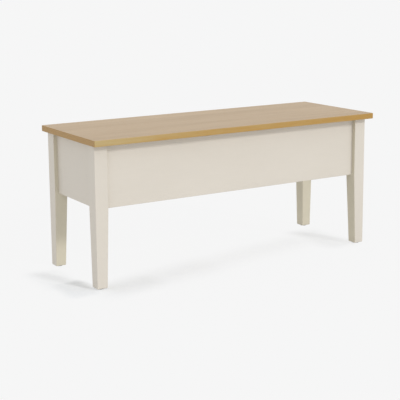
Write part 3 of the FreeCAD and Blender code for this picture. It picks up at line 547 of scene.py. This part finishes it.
def oak(name, along, across, stave, face, edge, fade, roughness):
    """Lacquered oak. The grain runs along one axis, each stave across has its own, and the
    colour of the long edges may fade from one end to the other."""
    material, tree, shader = new_material(name, Specular_IOR_Level=0.36)
    place = add_node(tree, "ShaderNodeTexCoord", {}, {})
    parts = add_node(tree, "ShaderNodeSeparateXYZ", {}, {"Vector": place.outputs["Object"]})
    normal = add_node(tree, "ShaderNodeSeparateXYZ", {}, {"Vector": place.outputs["Normal"]})
    axes = {"X": 0, "Y": 1, "Z": 2}
    run, side, up = parts.outputs[axes[along]], parts.outputs[axes[across]], parts.outputs[2]
    number = sum_of(tree, sum_of(tree, side, stave, "DIVIDE"), 0.5, "ADD")
    number = add_node(tree, "ShaderNodeMath", {"operation": "FLOOR"}, {0: number}).outputs[0]
    own = add_node(tree, "ShaderNodeTexWhiteNoise", {"noise_dimensions": "1D"}, {"W": number})
    own_tone = own.outputs["Value"]
    shift = add_node(tree, "ShaderNodeVectorMath", {"operation": "SCALE"}, {
        0: own.outputs["Color"], "Scale": 3.0}).outputs[0]
    fibre_place = add_node(tree, "ShaderNodeCombineXYZ", {}, {
        0: sum_of(tree, run, 0.07, "MULTIPLY"), 1: side, 2: up})
    fibre_place = add_node(tree, "ShaderNodeVectorMath", {}, {
        0: fibre_place.outputs[0], 1: shift}).outputs[0]
    bands = noise(tree, fibre_place, 26, 3.0, 0.55)
    streaks = noise(tree, fibre_place, 120, 3.0, 0.6)
    fibres = noise(tree, fibre_place, 620, 2.0, 0.6)
    pores = spread(tree, noise(tree, fibre_place, 1500, 1.0), 0.60, 0.72, 0.0, 1.0)
    share = sum_of(tree, spread(tree, bands, 0.3, 0.7, 0.15, 0.75),
                   spread(tree, streaks, 0.3, 0.7, -0.16, 0.16))
    share = sum_of(tree, share, spread(tree, fibres, 0.3, 0.7, -0.10, 0.10))
    share = sum_of(tree, share, spread(tree, own_tone, 0, 1, -0.12, 0.12))
    share = sum_of(tree, share, sum_of(tree, pores, -0.22, "MULTIPLY"))
    # Painted sheen: the faces take a paler, greyer colour than the edges of the same oak.
    along_face = blend_of(tree, share, *face)
    along_edge = blend_of(tree, sum_of(tree, share, sum_of(tree, run, fade, "MULTIPLY")), *edge)
    pith = sum_of(tree, sum_of(tree, own_tone, 0.06, "MULTIPLY"), 0.03, "ADD")
    height = sum_of(tree, up, pith, "ADD")
    offset = sum_of(tree, sum_of(tree, number, -stave, "MULTIPLY"), side)
    ring = add_node(tree, "ShaderNodeVectorMath", {"operation": "LENGTH"}, {
        0: add_node(tree, "ShaderNodeCombineXYZ", {}, {0: offset, 1: height}).outputs[0]})
    wobble = noise(tree, fibre_place, 70, 2.0)
    turns = sum_of(tree, sum_of(tree, ring.outputs["Value"], 330.0, "MULTIPLY"),
                   sum_of(tree, wobble, 2.2, "MULTIPLY"))
    wave = add_node(tree, "ShaderNodeMath", {"operation": "PINGPONG"}, {0: turns, 1: 0.5})
    flecks = noise(tree, place.outputs["Object"], 420, 2.0, 0.6)
    flecks = spread(tree, flecks, 0.35, 0.62, -0.55, 0.35)
    end_share = sum_of(tree, sum_of(tree, wave.outputs[0], 0.9, "MULTIPLY"), flecks)
    end_share = sum_of(tree, end_share, 0.25)
    on_end = add_node(tree, "ShaderNodeMath", {"operation": "ABSOLUTE"}, {
        0: normal.outputs[axes[along]]}).outputs[0]
    on_face = add_node(tree, "ShaderNodeMath", {"operation": "ABSOLUTE"}, {
        0: normal.outputs[2]}).outputs[0]
    colour = blend_of(tree, spread(tree, on_face, 0.55, 0.85, 0, 1), along_edge, along_face)
    colour = blend_of(tree, spread(tree, on_end, 0.55, 0.85, 0, 1), colour,
                      blend_of(tree, end_share, *OAK_END))
    rough = sum_of(tree, spread(tree, fibres, 0.3, 0.7, roughness, roughness + 0.08),
                   sum_of(tree, pores, 0.12, "MULTIPLY"))
    relief = sum_of(tree, fibres, sum_of(tree, pores, -1.2, "MULTIPLY"))
    join(tree, shader, colour, rough, relief, 0.00007)
    return material


low, high = corners("lid_board")
lid = block(low, high)
round_upright(lid, LID_CORNER)
for level in (low.z, high.z):
    round_level(lid, level, LID_EDGE, 4)
lid_oak = oak("lacquered_oak_lid", "X", "Y", STAVE, OAK_FACE_AND_SHEEN, OAK_EDGE, EDGE_FADE, 0.40)
make_piece("oak_lid_board", lid, lid_oak, "lid", "oak_top", "lid_board")


# Battens: two oak bars with bevelled lower edges, screwed across the underside of the lid to
# keep it flat. They are cut from the lid's own oak, each in one stave, and lacquered alike.

ONE_STAVE = 1.12
batten_oak = oak("lacquered_oak_battens", "Y", "X", ONE_STAVE, OAK_FACE_AND_SHEEN, OAK_EDGE, 0.0, 0.44)
finish_nodes(batten_oak, "lid_batten_left", "lid_batten_right")


# Studio: a plain pale floor under an even white sky, and one lamp in front and to the right. A
# colour in full light renders as it is written. As in the photograph, the floor is lit up to an
# even white, and the bench's shadow shows in it most beside the feet and a little in front.

SKY_LEVEL = 0.85
LAMP_LEVEL = 0.15
BACKGROUND = 0.922
LAMP_LEAN = 62
LAMP_TURN = 23
LAMP_SPREAD = 8
FLOOR_SIZE = 80.0
EVEN_WHITE = (BACKGROUND, BACKGROUND, BACKGROUND, 1)
SHADOW_FAR = 0.03
SHADOW_COLOUR = (0.905, 0.922, 0.942, 1)
# Each band: the share of the floor's own shading that it shows, how soft its edges are, its
# left, right, near and far limits in metres, and how far it leans back for each metre right.
SHADOW_BANDS = (
    (1.00, 0.025, -0.640, -0.535, -0.200, -0.030, 0.0),
    (0.50, 0.040, -0.660, -0.555, -0.100, 0.120, 0.0),
    (0.74, 0.060, -0.540, -0.300, -0.160, -0.030, 0.2),
    (0.46, 0.090, -0.420, -0.040, -0.155, -0.030, 0.2),
    (0.28, 0.090, -0.150, 0.420, -0.150, -0.030, 0.2),
    (0.42, 0.050, 0.380, 0.510, -0.170, 0.090, 0.0),
)


def looked_at(tree):
    """1 for a ray from the camera, by way of steel or clear rubber too, and 0 for other light."""
    rays = add_node(tree, "ShaderNodeLightPath", {}, {})
    seen = sum_of(tree, rays.outputs["Is Camera Ray"], rays.outputs["Is Glossy Ray"], "MAXIMUM")
    return sum_of(tree, seen, rays.outputs["Is Transmission Ray"], "MAXIMUM")


floor = bmesh.new()
bmesh.ops.create_grid(floor, x_segments=1, y_segments=1, size=FLOOR_SIZE)
floor_mesh = bpy.data.meshes.new("studio_floor")
floor.to_mesh(floor_mesh)
floor.free()
floor_paint = bpy.data.materials.new("pale_floor")
floor_paint.use_nodes = True
tree = floor_paint.node_tree
place = add_node(tree, "ShaderNodeTexCoord", {}, {})
parts = add_node(tree, "ShaderNodeSeparateXYZ", {}, {"Vector": place.outputs["Object"]})
kept = SHADOW_FAR
for share, soft, left, right, near, far, slope in SHADOW_BANDS:
    across = sum_of(tree, parts.outputs[1], sum_of(tree, parts.outputs[0], slope, "MULTIPLY"),
                    "SUBTRACT")
    for source, edge, rising in ((parts.outputs[0], left, True), (parts.outputs[0], right, False),
                                 (across, near, True), (across, far, False)):
        step = add_node(tree, "ShaderNodeMapRange", {"interpolation_type": "SMOOTHSTEP"}, {
            "Value": source, "From Min": edge - soft, "From Max": edge + soft,
            "To Min": 0.0 if rising else 1.0, "To Max": 1.0 if rising else 0.0}).outputs[0]
        share = sum_of(tree, share, step, "MULTIPLY")
    kept = sum_of(tree, kept, share, "MAXIMUM")
matt = add_node(tree, "ShaderNodeBsdfDiffuse", {}, {"Color": EVEN_WHITE})
shade = add_node(tree, "ShaderNodeBsdfDiffuse", {}, {"Color": SHADOW_COLOUR})
lit = add_node(tree, "ShaderNodeEmission", {}, {"Color": EVEN_WHITE, "Strength": 1.0})
shown = add_node(tree, "ShaderNodeMixShader", {}, {
    0: kept, 1: lit.outputs[0], 2: shade.outputs[0]})
surface = add_node(tree, "ShaderNodeMixShader", {}, {
    0: looked_at(tree), 1: matt.outputs[0], 2: shown.outputs[0]})
tree.links.new(surface.outputs[0], tree.nodes["Material Output"].inputs["Surface"])
floor_mesh.materials.append(floor_paint)
studio_floor = bpy.data.objects.new("studio_floor", floor_mesh)
bpy.context.scene.collection.objects.link(studio_floor)

world = bpy.data.worlds.new("studio_sky")
world.use_nodes = True
tree = world.node_tree
sky = tree.nodes["Background"]
sky.inputs["Color"].default_value = (1, 1, 1, 1)
sky.inputs["Strength"].default_value = SKY_LEVEL
backdrop = add_node(tree, "ShaderNodeBackground", {}, {"Color": EVEN_WHITE, "Strength": 1.0})
choice = add_node(tree, "ShaderNodeMixShader", {}, {
    0: looked_at(tree), 1: sky.outputs[0], 2: backdrop.outputs[0]})
tree.links.new(choice.outputs[0], tree.nodes["World Output"].inputs["Surface"])
bpy.context.scene.world = world

lamp_data = bpy.data.lights.new("broad_lamp", "SUN")
lamp_data.angle = math.radians(LAMP_SPREAD)
lamp_data.energy = LAMP_LEVEL * math.pi / math.cos(math.radians(LAMP_LEAN))
lamp = bpy.data.objects.new("broad_lamp", lamp_data)
lamp.rotation_euler = (math.radians(LAMP_LEAN), 0, math.radians(LAMP_TURN))
bpy.context.scene.collection.objects.link(lamp)


# Camera: the photograph's viewing angle, from in front of the bench, to its left and half a metre
# above the seat. The lens is shifted a little, so that the legs draw together less.

IMAGE_SIZE = 400
SENSOR = 36.0
FOCAL_PIXELS = 1046.2
CENTRE_ROW = 160.0
YAW, PITCH, ROLL = 31.59, 10.36, -0.45
CAMERA_PLACE = (-1.91151, -3.02219, 0.98787)

camera_data = bpy.data.cameras.new("photo_camera")
camera_data.sensor_width = SENSOR
camera_data.lens = FOCAL_PIXELS / IMAGE_SIZE * SENSOR
camera_data.shift_y = (CENTRE_ROW + 0.5 - IMAGE_SIZE / 2) / IMAGE_SIZE
camera_data.clip_end = 200
camera = bpy.data.objects.new("photo_camera", camera_data)
camera.matrix_world = (Matrix.Translation(CAMERA_PLACE)
                       @ Matrix.Rotation(math.radians(-YAW), 4, "Z")
                       @ Matrix.Rotation(math.radians(90 - PITCH), 4, "X")
                       @ Matrix.Rotation(math.radians(ROLL), 4, "Z"))
bpy.context.scene.collection.objects.link(camera)
bpy.context.scene.camera = camera
bpy.context.scene.view_settings.view_transform = "Standard"
